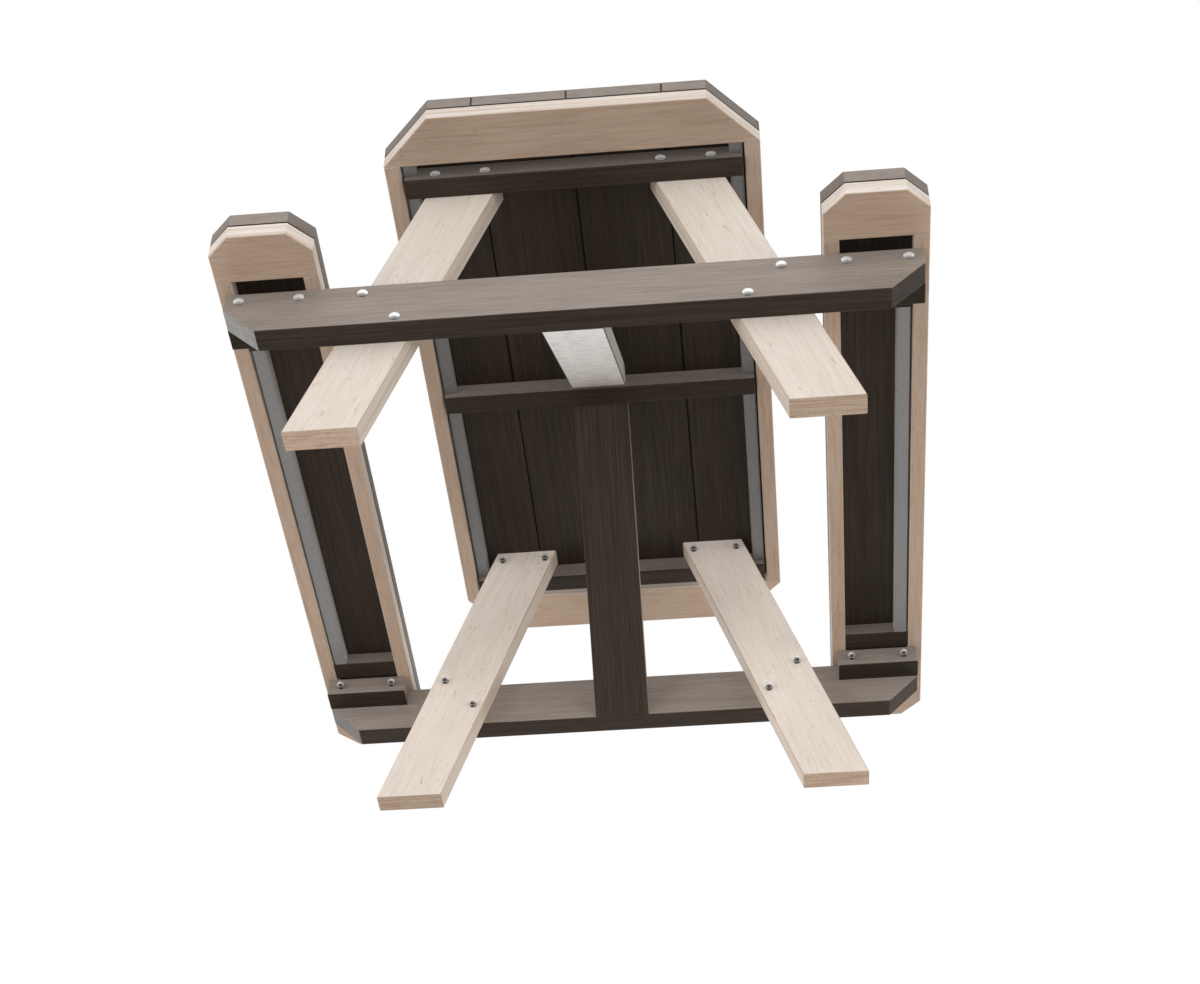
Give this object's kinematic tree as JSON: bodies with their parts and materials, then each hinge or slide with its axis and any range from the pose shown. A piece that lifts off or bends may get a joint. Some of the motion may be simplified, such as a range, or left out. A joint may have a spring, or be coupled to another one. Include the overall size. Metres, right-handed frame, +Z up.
{
  "type": "kids picnic table",
  "caption": "Low child-size picnic table with two attached benches on bolted A-frames, dark planks with pale rim boards and legs.",
  "frame": {"origin": "on the ground under the middle of the table", "axes": "+X across the table towards the right bench, +Y along the table from the near end to the far end, +Z up"},
  "size_m": [1.0228, 1.146, 0.557],
  "materials": {
    "dark_wood": "grey-brown stained timber, satin, straight grain",
    "light_wood": "pale natural timber, satin, straight grain",
    "tube_steel": "plain grey steel tube, satin",
    "fasteners": "bright zinc-plated"
  },
  "bodies": {
    "root": {"top_plank_1": "dark_wood", "top_plank_2": "dark_wood", "top_plank_3": "dark_wood", "top_plank_4": "dark_wood", "top_end_board_near": "light_wood", "top_end_board_far": "light_wood", "top_side_board_left": "light_wood", "top_side_board_right": "light_wood", "top_rail_left": "tube_steel", "top_rail_right": "tube_steel", "top_cleat_near": "dark_wood", "top_cleat_middle": "dark_wood", "top_cleat_far": "dark_wood", "bench_plank_left": "dark_wood", "bench_plank_right": "dark_wood", "bench_end_board_left_near": "light_wood", "bench_end_board_left_far": "light_wood", "bench_end_board_right_near": "light_wood", "bench_end_board_right_far": "light_wood", "bench_side_board_left_inner": "light_wood", "bench_side_board_left_outer": "light_wood", "bench_side_board_right_inner": "light_wood", "bench_side_board_right_outer": "light_wood", "bench_rail_left": "tube_steel", "bench_rail_right": "tube_steel", "bench_cleat_left_near": "dark_wood", "bench_cleat_left_far": "dark_wood", "bench_cleat_right_near": "dark_wood", "bench_cleat_right_far": "dark_wood", "bench_block_left_near": "dark_wood", "bench_block_left_far": "dark_wood", "bench_block_right_near": "dark_wood", "bench_block_right_far": "dark_wood", "crossbeam_near": "dark_wood", "crossbeam_far": "dark_wood", "leg_near_left": "light_wood", "leg_near_right": "light_wood", "leg_far_left": "light_wood", "leg_far_right": "light_wood", "brace_near": "dark_wood", "brace_far": "dark_wood", "cleat_bolts": "fasteners", "crossbeam_bolts": "fasteners", "block_bolts": "fasteners", "cleat_cap_nuts": "fasteners", "crossbeam_cap_nuts": "fasteners", "block_cap_nuts": "fasteners"}
  },
  "joints": []
}
